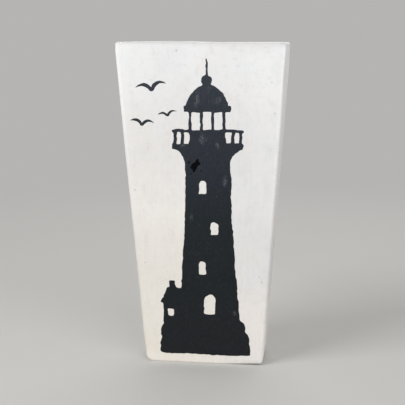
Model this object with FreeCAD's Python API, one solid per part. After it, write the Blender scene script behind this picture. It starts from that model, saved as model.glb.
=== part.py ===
"""A shelf ornament: a tapered softwood block, brushed white, with a landmark painted on its front in black.

The block stands on its narrow end. The origin is the centre of the foot, +Z is up, the painted front
faces -Y, and +X is on the right of somebody who looks at the front. All lengths are in millimetres.
"""

import FreeCAD, Part
import math
import os

# The block, tapered on all four sides, with the grain running up it.
HEIGHT = 176.0
TOP_WIDTH = 89.0
FOOT_WIDTH = 65.0
TOP_DEPTH = 50.0
FOOT_DEPTH = 27.0
SIDE_EDGE_RADIUS = 1.3      # the four long edges, eased by hand
TOP_EDGE_RADIUS = 0.8
FOOT_EDGE_RADIUS = 0.6
WORN_CORNER_RADIUS = 4.2    # the foot's left corner, rubbed rounder than the rest

# The paint.
WHITE_THICKNESS = 0.25
BLACK_THICKNESS = 0.15
DAB_THICKNESS = 0.20

# The picture, measured across from the block's middle (x) and up its leaning front from the foot (z).
ROCK_BOTTOM = 5.2
ROCK_LEFT = -23.4
ROCK_RIGHT = 26.0
ROCK_TOP = 26.8

TOWER_X = 3.6
TOWER_FOOT_HALF = 17.2
TOWER_HEAD_HALF = 12.0
TOWER_HEAD = 117.4
TOWER_HOLLOW = 1.2          # how far each side curves in between foot and head
TOWER_SUNK = 4.2            # how far the shaft's foot runs down into the rock

DECK_HALF = 18.8
DECK_BOTTOM = 121.0
DECK_TOP = 124.2
DECK_LIP = 1.1              # how far the deck overhangs its brackets
BRACKET_DROP = 6.8
BRACKET_HOLLOW = 1.1
RAIL_TOP = 131.6
RAIL_WIDTH = 1.5
POSTS_EACH_SIDE = 2

LANTERN_HALF = 9.8
GLASS_TOP = 140.8
MULLION_WIDTH = 1.5
PANES = 3
CORNICE_HALF = 12.4
CORNICE_TOP = 143.8

ROOF_HALF = 11.1
ROOF_TOP = 155.4
ROOF_NECK_HALF = 2.0
ROOF_SWELL = 2.4
BALL_RADIUS = 2.9
BALL_RISE = 2.0             # from the roof's top to the ball's middle
ROD_HALF = 0.8
ROD_TIP_HALF = 0.4
ROD_TOP = 168.8

OVERLAP = 1.0               # how far shapes that make one patch run into each other

WINDOW_WIDTH = 3.7
WINDOW_HEIGHT = 7.0
WINDOWS = ((-3.7, 52.4), (3.3, 74.8), (-3.1, 97.0))    # across from the tower's axis, and up
DOOR_WIDTH = 6.2
DOOR_HEIGHT = 11.1
DOORSTEP = 29.2

COTTAGE_LEFT = -22.2
COTTAGE_RIGHT = -7.5
COTTAGE_FLOOR = 20.3
EAVES = 35.2
EAVES_OVERHANG = 1.9
RIDGE = 44.2
HIP_RUN = 4.9
CHIMNEY_X = -16.5
CHIMNEY_WIDTH = 3.3
CHIMNEY_TOP = 48.6
PANE_X = -17.8
PANE_SILL = 27.3
PANE_WIDTH = 3.3
PANE_HEIGHT = 4.1

GULLS = {
    # name: (x, z, span, tilt in degrees)
    "painted_gull_large": (-25.6, 152.6, 17.0, 8.0),
    "painted_gull_middle": (-31.2, 134.0, 13.2, -6.0),
    "painted_gull_small": (-17.4, 139.0, 10.0, 12.0),
}

DAB_X = -2.9
DAB_Z = 112.4
DAB_WIDTH = 5.1
DAB_HEIGHT = 6.6


# Small helpers -----------------------------------------------------------------------------------

def flat_point(x, z):
    """A point of the picture, on the plane y = 0."""
    return FreeCAD.Vector(x, 0, z)


def outline(points):
    """A closed wire through (x, z, bulge) points, taken anticlockwise as the front shows them.

    bulge is how far the edge that leaves a point swells outwards at its middle: 0 is a straight edge
    and a negative bulge hollows it.
    """
    edges = []
    for here, there in zip(points, points[1:] + points[:1]):
        start = flat_point(here[0], here[1])
        end = flat_point(there[0], there[1])
        bulge = here[2]
        if bulge == 0:
            edges.append(Part.LineSegment(start, end).toShape())
            continue
        run = end - start
        outward = FreeCAD.Vector(run.z, 0, -run.x).normalize()
        middle = (start + end) * 0.5 + outward * bulge
        edges.append(Part.Arc(start, middle, end).toShape())
    return Part.Wire(edges)


def patch(points):
    """The face inside an outline."""
    return Part.Face(outline(points))


def band(left, right, bottom, top):
    """A plain rectangle."""
    return patch([(left, bottom, 0), (right, bottom, 0), (right, top, 0), (left, top, 0)])


def arched(x, bottom, width, height):
    """An upright opening with a half-round head."""
    half = width / 2
    spring = bottom + height - half
    return patch([
        (x - half, bottom, 0),
        (x + half, bottom, 0),
        (x + half, spring, half),
        (x - half, spring, 0),
    ])


def raised(faces, lift, thickness):
    """Paint of that thickness over the faces together, its back lifted off the wood's front by lift."""
    films = []
    for face in faces:
        film = face.copy()
        film.translate(FreeCAD.Vector(0, -lift, 0))
        films.append(film.extrude(FreeCAD.Vector(0, -thickness, 0)))
    if len(films) == 1:
        return films[0]
    return films[0].multiFuse(films[1:]).removeSplitter()


# The block and its white coat --------------------------------------------------------------------

SIDE_LEAN = math.atan((TOP_WIDTH - FOOT_WIDTH) / 2 / HEIGHT)    # of the two sides from the upright
FRONT_LEAN = math.atan((TOP_DEPTH - FOOT_DEPTH) / 2 / HEIGHT)   # of the front and of the back


def section(z, grow):
    """Half the width and half the depth at height z, with the four leaning faces moved out by grow."""
    half_width = FOOT_WIDTH / 2 + z * math.tan(SIDE_LEAN) + grow / math.cos(SIDE_LEAN)
    half_depth = FOOT_DEPTH / 2 + z * math.tan(FRONT_LEAN) + grow / math.cos(FRONT_LEAN)
    return half_width, half_depth


def level_rectangle(z, grow):
    """The block's sharp cross-section at height z."""
    x, y = section(z, grow)
    ring = [(-x, -y), (x, -y), (x, y), (-x, y), (-x, -y)]
    return Part.makePolygon([FreeCAD.Vector(px, py, z) for px, py in ring])


def sharp_block(grow):
    """The tapered block before its edges are eased."""
    foot = level_rectangle(-grow, grow)
    head = level_rectangle(HEIGHT + grow, grow)
    return Part.makeLoft([foot, head], True, True)


def worn_corner(grow):
    """The block's outline with the foot's left corner rounded, deep enough to trim the block."""
    low = -grow
    high = HEIGHT + grow
    foot = section(low, grow)[0]
    head = section(high, grow)[0]
    radius = WORN_CORNER_RADIUS + grow
    turn = math.pi / 2 - SIDE_LEAN                 # how far the outline turns at that corner
    setback = radius * math.tan(turn / 2)          # from the corner to each end of the arc
    swell = radius * (1 - math.cos(turn / 2))      # of the arc beyond the chord between its ends
    face = patch([
        (setback - foot, low, 0),
        (foot, low, 0),
        (head, high, 0),
        (-head, high, 0),
        (-foot - setback * math.sin(SIDE_LEAN), low + setback * math.cos(SIDE_LEAN), swell),
    ])
    face.translate(FreeCAD.Vector(0, -TOP_DEPTH, 0))
    return face.extrude(FreeCAD.Vector(0, 2 * TOP_DEPTH, 0))


def edges_at_height(solid, z):
    """The edges that lie level at z."""
    return [e for e in solid.Edges if all(abs(v.Z - z) < 1e-6 for v in e.Vertexes)]


def block(grow):
    """The tapered block with eased edges, every face moved out by grow."""
    solid = sharp_block(grow)
    long_edges = [e for e in solid.Edges if e.BoundBox.ZLength > HEIGHT / 2]
    solid = solid.makeFillet(SIDE_EDGE_RADIUS + grow, long_edges)
    solid = solid.makeFillet(TOP_EDGE_RADIUS + grow, edges_at_height(solid, HEIGHT + grow))
    solid = solid.makeFillet(FOOT_EDGE_RADIUS + grow, edges_at_height(solid, -grow))
    return solid.common(worn_corner(grow))


def above_the_foot(solid):
    """The part of a solid that isn't below z = 0."""
    reach = TOP_WIDTH + TOP_DEPTH
    keep = Part.makeBox(2 * reach, 2 * reach, 2 * HEIGHT, FreeCAD.Vector(-reach, -reach, 0))
    return solid.common(keep)


def white_coat(wood):
    """Brushed paint on every side but the foot's, where the wood is bare."""
    return above_the_foot(block(WHITE_THICKNESS)).cut(wood)


def on_front(film):
    """A film made on the plane y = 0, laid on the leaning front with z = 0 at the foot."""
    laid = film.copy()
    laid.rotate(FreeCAD.Vector(0, 0, 0), FreeCAD.Vector(1, 0, 0), math.degrees(FRONT_LEAN))
    laid.translate(FreeCAD.Vector(0, -FOOT_DEPTH / 2, 0))
    return laid


# The picture -------------------------------------------------------------------------------------

def rock():
    """The crag that the landmark stands on."""
    return patch([
        (ROCK_LEFT, ROCK_BOTTOM, 0),
        (ROCK_RIGHT - 1.2, ROCK_BOTTOM + 0.1, 0.5),
        (ROCK_RIGHT, ROCK_BOTTOM + 1.4, 0.5),
        (ROCK_RIGHT - 0.5, 12.6, 1.0),
        (ROCK_RIGHT - 2.8, 19.4, 1.2),
        (TOWER_X + TOWER_FOOT_HALF - 0.6, ROCK_TOP - 0.6, 0.6),
        (TOWER_X, ROCK_TOP + 1.6, 0.6),
        (COTTAGE_RIGHT, ROCK_TOP - 2.6, 0),
        (COTTAGE_LEFT - 0.4, ROCK_TOP - 4.4, 0.9),
        (ROCK_LEFT + 0.2, 14.6, 0.7),
        (ROCK_LEFT - 0.6, 8.4, 0.5),
    ])


def tower():
    """The tapered shaft, a little hollow-sided."""
    return patch([
        (TOWER_X - TOWER_FOOT_HALF, ROCK_TOP - TOWER_SUNK, 0),
        (TOWER_X + TOWER_FOOT_HALF, ROCK_TOP - TOWER_SUNK, -TOWER_HOLLOW),
        (TOWER_X + TOWER_HEAD_HALF, TOWER_HEAD, 0),
        (TOWER_X + TOWER_HEAD_HALF, DECK_TOP, 0),
        (TOWER_X - TOWER_HEAD_HALF, DECK_TOP, 0),
        (TOWER_X - TOWER_HEAD_HALF, TOWER_HEAD, -TOWER_HOLLOW),
    ])


def deck():
    """The gallery's floor on its curved brackets."""
    return patch([
        (TOWER_X - TOWER_HEAD_HALF, DECK_BOTTOM - BRACKET_DROP, 0),
        (TOWER_X + TOWER_HEAD_HALF, DECK_BOTTOM - BRACKET_DROP, -BRACKET_HOLLOW),
        (TOWER_X + DECK_HALF - DECK_LIP, DECK_BOTTOM, 0),
        (TOWER_X + DECK_HALF, DECK_BOTTOM, 0),
        (TOWER_X + DECK_HALF, DECK_TOP, 0),
        (TOWER_X - DECK_HALF, DECK_TOP, 0),
        (TOWER_X - DECK_HALF, DECK_BOTTOM, 0),
        (TOWER_X - DECK_HALF + DECK_LIP, DECK_BOTTOM, -BRACKET_HOLLOW),
    ])


def railing():
    """The gallery's rail and the posts on both sides of the lantern."""
    bars = [band(TOWER_X - DECK_HALF, TOWER_X + DECK_HALF, RAIL_TOP - RAIL_WIDTH, RAIL_TOP)]
    outermost = DECK_HALF - RAIL_WIDTH
    step = (outermost - LANTERN_HALF) / POSTS_EACH_SIDE
    half = RAIL_WIDTH / 2
    for side in (-1, 1):
        for number in range(POSTS_EACH_SIDE):
            middle = TOWER_X + side * (outermost - number * step)
            bars.append(band(middle - half, middle + half, DECK_TOP - OVERLAP, RAIL_TOP))
    return bars


def lantern():
    """The glazed room: a solid sill, upright bars and a cornice."""
    sill = band(TOWER_X - LANTERN_HALF, TOWER_X + LANTERN_HALF, DECK_TOP - OVERLAP, RAIL_TOP)
    cornice = band(TOWER_X - CORNICE_HALF, TOWER_X + CORNICE_HALF, GLASS_TOP, CORNICE_TOP)
    pitch = (2 * LANTERN_HALF - MULLION_WIDTH) / PANES
    bars = []
    for number in range(PANES + 1):
        left = TOWER_X - LANTERN_HALF + number * pitch
        bars.append(band(left, left + MULLION_WIDTH, RAIL_TOP - OVERLAP, GLASS_TOP + OVERLAP))
    return [sill, cornice] + bars


def roof():
    """A bell-shaped roof with a ball and a lightning rod."""
    cap = patch([
        (TOWER_X - ROOF_HALF, CORNICE_TOP - OVERLAP, 0),
        (TOWER_X + ROOF_HALF, CORNICE_TOP - OVERLAP, ROOF_SWELL),
        (TOWER_X + ROOF_NECK_HALF, ROOF_TOP, 0),
        (TOWER_X - ROOF_NECK_HALF, ROOF_TOP, ROOF_SWELL),
    ])
    ball_z = ROOF_TOP + BALL_RISE
    ball = patch([
        (TOWER_X - BALL_RADIUS, ball_z, BALL_RADIUS),
        (TOWER_X + BALL_RADIUS, ball_z, BALL_RADIUS),
    ])
    rod = patch([
        (TOWER_X - ROD_HALF, ball_z, 0),
        (TOWER_X + ROD_HALF, ball_z, 0),
        (TOWER_X + ROD_TIP_HALF, ROD_TOP, 0),
        (TOWER_X - ROD_TIP_HALF, ROD_TOP, 0),
    ])
    return [cap, ball, rod]


def cottage():
    """The keeper's house beside the tower."""
    walls = band(COTTAGE_LEFT, COTTAGE_RIGHT, COTTAGE_FLOOR, EAVES + OVERLAP)
    hipped = patch([
        (COTTAGE_LEFT - EAVES_OVERHANG, EAVES, 0),
        (COTTAGE_RIGHT, EAVES, 0),
        (COTTAGE_RIGHT, RIDGE, 0),
        (COTTAGE_LEFT - EAVES_OVERHANG + HIP_RUN, RIDGE, 0),
    ])
    half = CHIMNEY_WIDTH / 2
    chimney = band(CHIMNEY_X - half, CHIMNEY_X + half, RIDGE - OVERLAP, CHIMNEY_TOP)
    return [walls, hipped, chimney]


def bare_openings():
    """The windows and the door, where the white shows."""
    openings = [arched(TOWER_X + x, z, WINDOW_WIDTH, WINDOW_HEIGHT) for x, z in WINDOWS]
    openings.append(arched(TOWER_X, DOORSTEP, DOOR_WIDTH, DOOR_HEIGHT))
    half = PANE_WIDTH / 2
    openings.append(band(PANE_X - half, PANE_X + half, PANE_SILL, PANE_SILL + PANE_HEIGHT))
    return openings


def lighthouse():
    """The whole landmark, one patch of paint."""
    shapes = [rock(), tower(), deck()] + railing() + lantern() + roof() + cottage()
    painted = raised(shapes, WHITE_THICKNESS, BLACK_THICKNESS)
    return on_front(painted.cut(raised(bare_openings(), WHITE_THICKNESS, BLACK_THICKNESS)))


def gull(x, z, span, tilt):
    """A bird seen far off, one patch: two swept wings that meet in a small body."""
    tip = span / 2
    body = span * 0.07
    wings = patch([
        (-tip, span * 0.10, -span * 0.10),
        (-body, -span * 0.04, span * 0.03),
        (body, -span * 0.04, -span * 0.10),
        (tip, span * 0.10, span * 0.15),
        (0, span * 0.05, span * 0.15),
    ])
    wings.rotate(FreeCAD.Vector(0, 0, 0), FreeCAD.Vector(0, -1, 0), tilt)
    wings.translate(flat_point(x, z))
    return on_front(raised([wings], WHITE_THICKNESS, BLACK_THICKNESS))


def dab():
    """A second touch of thicker, glossier paint."""
    half = DAB_WIDTH / 2
    rise = DAB_HEIGHT / 2
    touch = patch([
        (DAB_X - half * 0.5, DAB_Z - rise, 0.5),
        (DAB_X + half * 0.7, DAB_Z - rise * 0.6, 0.4),
        (DAB_X + half, DAB_Z + rise * 0.5, 0.6),
        (DAB_X - half * 0.4, DAB_Z + rise, 0.5),
        (DAB_X - half, DAB_Z - rise * 0.1, 0.3),
    ])
    return on_front(raised([touch], WHITE_THICKNESS + BLACK_THICKNESS, DAB_THICKNESS))


# The nodes ---------------------------------------------------------------------------------------

def build():
    """Every separate piece by name."""
    wood = block(0)
    made = {
        "wood_block": wood,
        "white_paint_coat": white_coat(wood),
        "painted_lighthouse": lighthouse(),
        "touch_up_dab": dab(),
    }
    for name, (x, z, span, tilt) in GULLS.items():
        made[name] = gull(x, z, span, tilt)
    return made


def single_solid(name, shape):
    """A shape's one solid, without the compound that a boolean leaves round it."""
    if len(shape.Solids) != 1 or not shape.Solids[0].isValid():
        raise ValueError("%s came out with %d solids" % (name, len(shape.Solids)))
    return shape.Solids[0]


os.makedirs("parts", exist_ok=True)
for node, shape in build().items():
    solid = single_solid(node, shape)
    solid.exportStep("parts/%s.step" % node)
    box = solid.optimalBoundingBox()
    print("%-20s %8.3f cm3  %6.2f x %6.2f x %6.2f mm"
          % (node, solid.Volume / 1000, box.XLength, box.YLength, box.ZLength))
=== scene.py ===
import math

import bmesh
import bpy
import numpy as np
from mathutils import Matrix, Vector
from mathutils.bvhtree import BVHTree
from mathutils.geometry import delaunay_2d_cdt


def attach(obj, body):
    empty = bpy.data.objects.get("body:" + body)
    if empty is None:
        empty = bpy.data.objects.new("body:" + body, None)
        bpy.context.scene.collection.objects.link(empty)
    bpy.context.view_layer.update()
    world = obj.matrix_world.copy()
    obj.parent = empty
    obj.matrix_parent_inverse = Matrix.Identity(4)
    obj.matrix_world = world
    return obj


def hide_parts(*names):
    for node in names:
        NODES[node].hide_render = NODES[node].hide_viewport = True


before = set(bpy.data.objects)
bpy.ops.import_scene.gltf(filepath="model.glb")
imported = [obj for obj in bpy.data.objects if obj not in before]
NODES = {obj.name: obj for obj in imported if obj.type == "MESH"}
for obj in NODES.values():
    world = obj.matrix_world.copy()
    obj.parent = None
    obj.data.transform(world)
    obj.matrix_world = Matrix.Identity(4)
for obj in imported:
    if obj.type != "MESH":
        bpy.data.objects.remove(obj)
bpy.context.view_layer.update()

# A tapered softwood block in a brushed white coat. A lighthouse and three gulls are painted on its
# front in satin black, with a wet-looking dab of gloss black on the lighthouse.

# Lengths are in mm, in the row frame, until a mesh is made.
MM = 0.001


def in_scene(name, data):
    """A new object in the scene that shows the data."""
    made = bpy.data.objects.new(name, data)
    bpy.context.scene.collection.objects.link(made)
    return made


def mesh_of(name, points, faces):
    """A new mesh from points in mm."""
    mesh = bpy.data.meshes.new(name)
    mesh.from_pydata((points * MM).tolist(), [], faces)
    return mesh


# Camera ------------------------------------------------------------------------------------------

CAMERA_DISTANCE = 494.9     # level distance from the block's axis
CAMERA_ROUND = 7.52         # degrees to the right of square on
CAMERA_HEIGHT = 179.0
CAMERA_DOWN = 10.355        # degrees below level
CAMERA_ASIDE = 0.25         # degrees that it looks to the left of the axis
CAMERA_ROLL = -0.20
SENSOR = 36
LENS = 80.6
NEAREST_SEEN = 10           # nothing nearer than that shows


def make_camera():
    """The camera, a little above the head and to the right, looking slightly down."""
    around = math.radians(CAMERA_ROUND)
    place = Vector((
        CAMERA_DISTANCE * math.sin(around),
        -CAMERA_DISTANCE * math.cos(around),
        CAMERA_HEIGHT,
    )) * MM
    turn = Matrix.Rotation(math.radians(CAMERA_ROUND + CAMERA_ASIDE), 4, "Z")
    tip = Matrix.Rotation(math.radians(90 - CAMERA_DOWN), 4, "X")
    roll = Matrix.Rotation(math.radians(CAMERA_ROLL), 4, "Z")
    camera = in_scene("camera", bpy.data.cameras.new("camera"))
    camera.data.sensor_width = SENSOR
    camera.data.lens = LENS
    camera.data.clip_start = NEAREST_SEEN * MM
    camera.matrix_world = Matrix.Translation(place) @ turn @ tip @ roll
    bpy.context.scene.camera = camera


# Random swells -----------------------------------------------------------------------------------

LATTICE = 64                # random values along each side of the table, before it repeats


def swells(points, size, seed):
    """Smooth random heights from -1 to 1 at the points. Each swell is about size across."""
    table = np.random.default_rng(seed).uniform(-1, 1, (LATTICE,) * 3)
    place = points / np.broadcast_to(np.asarray(size, float), 3)
    cell = np.floor(place).astype(int)
    part = place - cell
    part = part * part * (3 - 2 * part)
    height = np.zeros(len(points))
    for corner in np.ndindex(2, 2, 2):
        share = np.where(corner, part, 1 - part).prod(axis=1)
        at = (cell + corner) % LATTICE
        height += share * table[at[:, 0], at[:, 1], at[:, 2]]
    return height


def layered(points, layers):
    """The sum of a few layers of swells, each of which is its height, size and seed."""
    return sum(height * swells(points, size, seed) for height, size, seed in layers)


def ramp(values, low, high):
    """0 below low, 1 above high, and smooth between."""
    part = np.clip((values - low) / (high - low), 0, 1)
    return part * part * (3 - 2 * part)


# Points and edges --------------------------------------------------------------------------------

def mesh_array(mesh, group, field, width):
    """A property of all of a mesh's vertices or polygons as an array."""
    items = getattr(mesh, group)
    values = np.empty(len(items) * width)
    items.foreach_get(field, values)
    return values.reshape(-1, width) if width > 1 else values


def extent(points):
    """The lowest and the highest value of each coordinate."""
    return points.min(axis=0), points.max(axis=0)


def crossings(x, z):
    """The points where the lines of a grid cross."""
    return np.stack(np.meshgrid(x, z), axis=-1).reshape(-1, 2)


def rim_edges(faces):
    """The edges that only one face has, in the order in which that face goes round."""
    rim = {}
    for face in faces:
        for edge in zip(face, face[1:] + face[:1]):
            if edge[::-1] in rim:
                del rim[edge[::-1]]
            else:
                rim[edge] = True
    return list(rim)


# The block's shape -------------------------------------------------------------------------------

ALIKE = 0.97                # the cosine between a face's normal and the way that it is asked for


def flat_face(node, towards):
    """The largest flat face of a node that looks that way: its normal and distance from the origin."""
    mesh = NODES[node].data
    normals = mesh_array(mesh, "polygons", "normal", 3)
    centres = mesh_array(mesh, "polygons", "center", 3) / MM
    areas = mesh_array(mesh, "polygons", "area", 1)
    facing = normals @ np.array(towards, float) > ALIKE
    normals, centres, areas = normals[facing], centres[facing], areas[facing]
    distance = (normals * centres).sum(axis=1)
    _, which = np.unique(distance.round(2), return_inverse=True)
    largest = which == np.bincount(which, areas).argmax()
    normal = np.average(normals[largest], axis=0, weights=areas[largest])
    return normal / np.linalg.norm(normal), np.average(distance[largest], weights=areas[largest])


SIDES = {
    "left": (-1, 0, 0), "right": (1, 0, 0), "front": (0, -1, 0),
    "back": (0, 1, 0), "head": (0, 0, 1), "foot": (0, 0, -1),
}
FACES = {side: flat_face("wood_block", way) for side, way in SIDES.items()}
HEIGHT = FACES["head"][1]

INSET = 1.4                 # from the block's surface to where the rays that find it start
WORN_CORNER = 4.2           # radius of the foot's left corner
LIFTED_CORNER = 1.3         # radius of its right one
HEAD_CORNER = 0.85          # radius of the head's corners, seen from the front
HEAD_ENDS = (-40, 40)       # two places across,
HEAD_EDGE_RADII = (0.8, 1.7)    # and the radii of the head's front and back edges there
HEAD_RISE = 0.09            # how much too high the head was planed on the whole,
HEAD_STEP = 0.27            # and how much more on its left part and less on its right
STEP_PLACE = -2.5           # where the step between those parts is, across
STEP_SOFTNESS = 6           # how wide it is
FOOT_EDGE = 0.6             # radius of the foot's front and back edges
FOOT_CLEAR = 0.06           # how far the bare wood is above what the coat's rim rests on
FOOT_LIFT = 1.05            # how far the foot's right end was sanded clear of what it stands on,
LIFT_SPAN = (4, 36)         # and between which places across it rises
LONG_EDGE_HEIGHTS = (0, 110, 176)       # three heights, and the long edges' radii there
LEFT_EDGE_RADII = (1.75, 1.6, 1.15)
RIGHT_EDGE_RADII = (1.45, 1.0, 0.75)
EDGE_REACH = 1.6            # how far the head's and the foot's own radii reach along the long edges
UNEVEN = ((0.20, 19, 3),)   # how the radii vary: share, size of the swells, seed
HOLLOWS = ((0.085, 43, 4), (0.030, 13, 5))      # how far the faces are out of flat
HOLLOW_FREE = (0.5, 6)      # heights where hollows and knocks fade in, so that the foot stays true

# Knocks and sanding: which long edge (-1 left or 1 right, -1 front or 1 back), height, size, depth.
# A depth below 0 is a stretch that was sanded less than the rest.
KNOCKS = (
    (-1, -1, 136.3, 1.0, 0.35),
    (1, -1, 66.5, 1.3, 0.40),
    (1, -1, 121.0, 0.9, 0.22),
    (-1, -1, 58.0, 1.2, 0.20),
    (1, -1, 164.0, 21.0, 0.60),
    (1, 1, 175.0, 11.0, 0.55),
    (-1, -1, 175.5, 2.6, 0.40),
    (-1, -1, 5.0, 6.0, 0.37),
    (-1, -1, 113.0, 26.0, -0.22),
    (1, 1, 148.0, 1.6, 0.45),
    (-1, 1, 31.0, 1.8, 0.50),
    (-1, 1, 97.0, 1.1, 0.30),
)


def gap(points, face):
    """How far points stand out of one of the block's flat faces."""
    normal, distance = FACES[face]
    return points @ normal - distance


def half_depth(z):
    """Half the block's depth at height z."""
    normal, distance = FACES["front"]
    return (distance - normal[2] * z) / -normal[1]


def half_width(z):
    """Half the block's width at height z."""
    normal, distance = FACES["right"]
    return (distance - normal[2] * z) / normal[0]


def eased(a, b, radius):
    """Two faces' gaps joined round an edge of that radius."""
    rise_a = a + radius
    rise_b = b + radius
    turned = np.hypot(np.maximum(rise_a, 0), np.maximum(rise_b, 0))
    return np.minimum(np.maximum(rise_a, rise_b), 0) + turned - radius


def wear_at(points):
    """What hand work did to the block at the points: edge radii, hollows, planing and sanding."""
    x, z = points[:, 0], points[:, 2]
    near_head = np.exp(-np.maximum(HEIGHT - z, 0) / EDGE_REACH)
    near_foot = np.exp(-np.maximum(z, 0) / EDGE_REACH)
    uneven = 1 + layered(points, UNEVEN)
    left = np.interp(z, LONG_EDGE_HEIGHTS, LEFT_EDGE_RADII)
    right = np.interp(z, LONG_EDGE_HEIGHTS, RIGHT_EDGE_RADII)
    radius = np.where(x < 0, left, right) * uneven
    head_edge = np.interp(x, HEAD_ENDS, HEAD_EDGE_RADII) * uneven
    radius += (head_edge - radius) * near_head + (FOOT_EDGE - radius) * near_foot
    hollow = layered(points, HOLLOWS)
    for side, face, height, size, depth in KNOCKS:
        edge = np.array([side * half_width(height), face * half_depth(height), height])
        apart = np.linalg.norm(points - edge, axis=1)
        hollow = hollow + depth * np.exp(-(apart / size) ** 2)
    return {
        "edge": radius,
        "hollow": hollow * ramp(z, *HOLLOW_FREE),
        "planed": HEAD_STEP * np.tanh((x - STEP_PLACE) / STEP_SOFTNESS) - HEAD_RISE,
        "lifted": FOOT_CLEAR + FOOT_LIFT * ramp(x, *LIFT_SPAN),
    }


def outside(points, wear):
    """How far points are outside the worn block."""
    foot = gap(points, "foot") + wear["lifted"]
    low_left = eased(gap(points, "left"), foot, WORN_CORNER)
    low_right = eased(gap(points, "right"), foot, LIFTED_CORNER)
    sides = np.maximum(gap(points, "left"), gap(points, "right"))
    high = eased(sides, gap(points, "head") + wear["planed"], HEAD_CORNER)
    outline = np.maximum(np.maximum(low_left, low_right), high)
    slab = np.maximum(gap(points, "front"), gap(points, "back"))
    return eased(outline, slab, wear["edge"]) + wear["hollow"]


FARTHEST = 3 * INSET        # how far from its start a ray looks for the surface
HALVINGS = 26               # of that distance


def reach(starts, directions, wear, grown):
    """How far from the starts the surface lies, once it is moved out by grown."""
    near = np.zeros(len(starts))
    far = np.full(len(starts), FARTHEST)
    for _ in range(HALVINGS):
        middle = (near + far) / 2
        out = outside(starts + directions * middle[:, None], wear) > grown
        far = np.where(out, middle, far)
        near = np.where(out, near, middle)
    return (near + far) / 2


# The grid of rays that finds the block's surface -------------------------------------------------

LOOP_STEP = 2.2             # between rays along the outline's straight sides
# Steps and radii round the outline's corners: lower right, upper right, upper left, lower left.
ARC_STEPS = (6, 6, 6, 12)
NOMINAL_CORNERS = (1.6, 1.6, 1.6, WORN_CORNER)
EDGE_TURNS = np.radians([90, 78, 66, 54, 42, 30, 16])   # of the rays round a front or back edge
SIDE_ROWS = 44              # rows of level rays from the front to the back
STRAIGHT_DOWN = -0.9999     # the upward part of the way that the foot's rays go


def corner_arcs():
    """Where rays start round each corner of the outline and the ways they look, across and up."""
    order = ("foot", "right", "head", "left")
    for here, after, radius, steps in zip(order, order[1:] + order[:1], NOMINAL_CORNERS, ARC_STEPS):
        sides = (FACES[here], FACES[after])
        ways = np.array([normal[[0, 2]] for normal, _ in sides])
        centre = np.linalg.solve(ways, np.array([distance - radius for _, distance in sides]))
        first, last = np.arctan2(ways[:, 1], ways[:, 0])
        last += 2 * math.pi if last < first else 0
        angles = np.linspace(first, last, steps + 1)
        looks = np.column_stack([np.cos(angles), np.sin(angles)])
        yield centre + (radius - INSET) * looks, looks


def outline_loop():
    """Where rays start inside the block's outline and the ways they look, across and up, all round."""
    arcs = list(corner_arcs())
    places, looks = [], []
    for (arc, arc_looks), (next_arc, _) in zip(arcs, arcs[1:] + arcs[:1]):
        start, stop = arc[-1], next_arc[0]
        count = max(2, round(np.linalg.norm(stop - start) / LOOP_STEP))
        along = np.arange(1, count) / count
        places += [arc, start + (stop - start) * along[:, None]]
        looks += [arc_looks, np.repeat(arc_looks[-1:], count - 1, axis=0)]
    return np.concatenate(places), np.concatenate(looks)


def strip_rays():
    """Where rays start and the ways they go, row by row from front to back, and which meet the foot."""
    loop, looks = outline_loop()
    level = np.column_stack([looks[:, 0], np.zeros(len(looks)), looks[:, 1]])
    depth = half_depth(loop[:, 1]) - INSET
    rows = [("front", -1.0, turn) for turn in EDGE_TURNS]
    rows += [("front", share, 0.0) for share in np.linspace(-1, 1, SIDE_ROWS)]
    rows += [("back", 1.0, turn) for turn in EDGE_TURNS[::-1]]
    starts, ways = [], []
    for face, share, turn in rows:
        starts.append(np.column_stack([loop[:, 0], depth * share, loop[:, 1]]))
        ways.append(level * math.cos(turn) + FACES[face][0] * math.sin(turn))
    return np.array(starts), np.array(ways), looks[:, 1] < STRAIGHT_DOWN


STARTS, WAYS, ON_FOOT = strip_rays()
ROWS, ROUND = STARTS.shape[:2]
FLAT_ROWS = (len(EDGE_TURNS), len(EDGE_TURNS) + SIDE_ROWS - 1)      # first and last of the level ones

RIM_ROOM = 0.6              # steps that a cap's grid keeps clear of its rim at the sides,
FOOT_ROOM = 0.8             # at the foot,
HEAD_ROOM = 0.5             # and at the head
MERGED = 1e-6               # points nearer than that are one point


def cap_grid(step_x, step_z):
    """Points inside the outline for a cap, across and up, on a grid with those steps."""
    low, high = extent(STARTS[0][:, [0, 2]])
    x = np.arange(math.ceil(low[0] / step_x), high[0] / step_x) * step_x
    z = np.arange(low[1] + step_z * FOOT_ROOM, high[1] - step_z * HEAD_ROOM, step_z)
    grid = crossings(x, z)
    flat = np.column_stack([grid[:, 0], np.zeros(len(grid)), grid[:, 1]])
    sides = np.maximum(gap(flat, "left"), gap(flat, "right"))
    corner = eased(gap(flat, "left"), gap(flat, "foot"), WORN_CORNER)
    return grid[np.maximum(sides, corner) < -INSET - step_x * RIM_ROOM]


def cap(face, grid):
    """A cap's triangles, where numbers from ROUND on are grid points, and the grid's rays."""
    loop = STARTS[0][:, [0, 2]]
    flat = [Vector(point) for point in np.concatenate([loop, grid])]
    made = delaunay_2d_cdt(flat, [], [list(range(ROUND))], 1, MERGED)
    source = [origins[0] for origins in made[3]]
    triangles = [[source[v] for v in triangle] for triangle in made[2]]
    side = -1 if face == "front" else 1
    depth = side * (half_depth(grid[:, 1]) - INSET)
    starts = np.column_stack([grid[:, 0], depth, grid[:, 1]])
    return triangles, starts, np.repeat(FACES[face][0][None], len(grid), axis=0)


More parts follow.
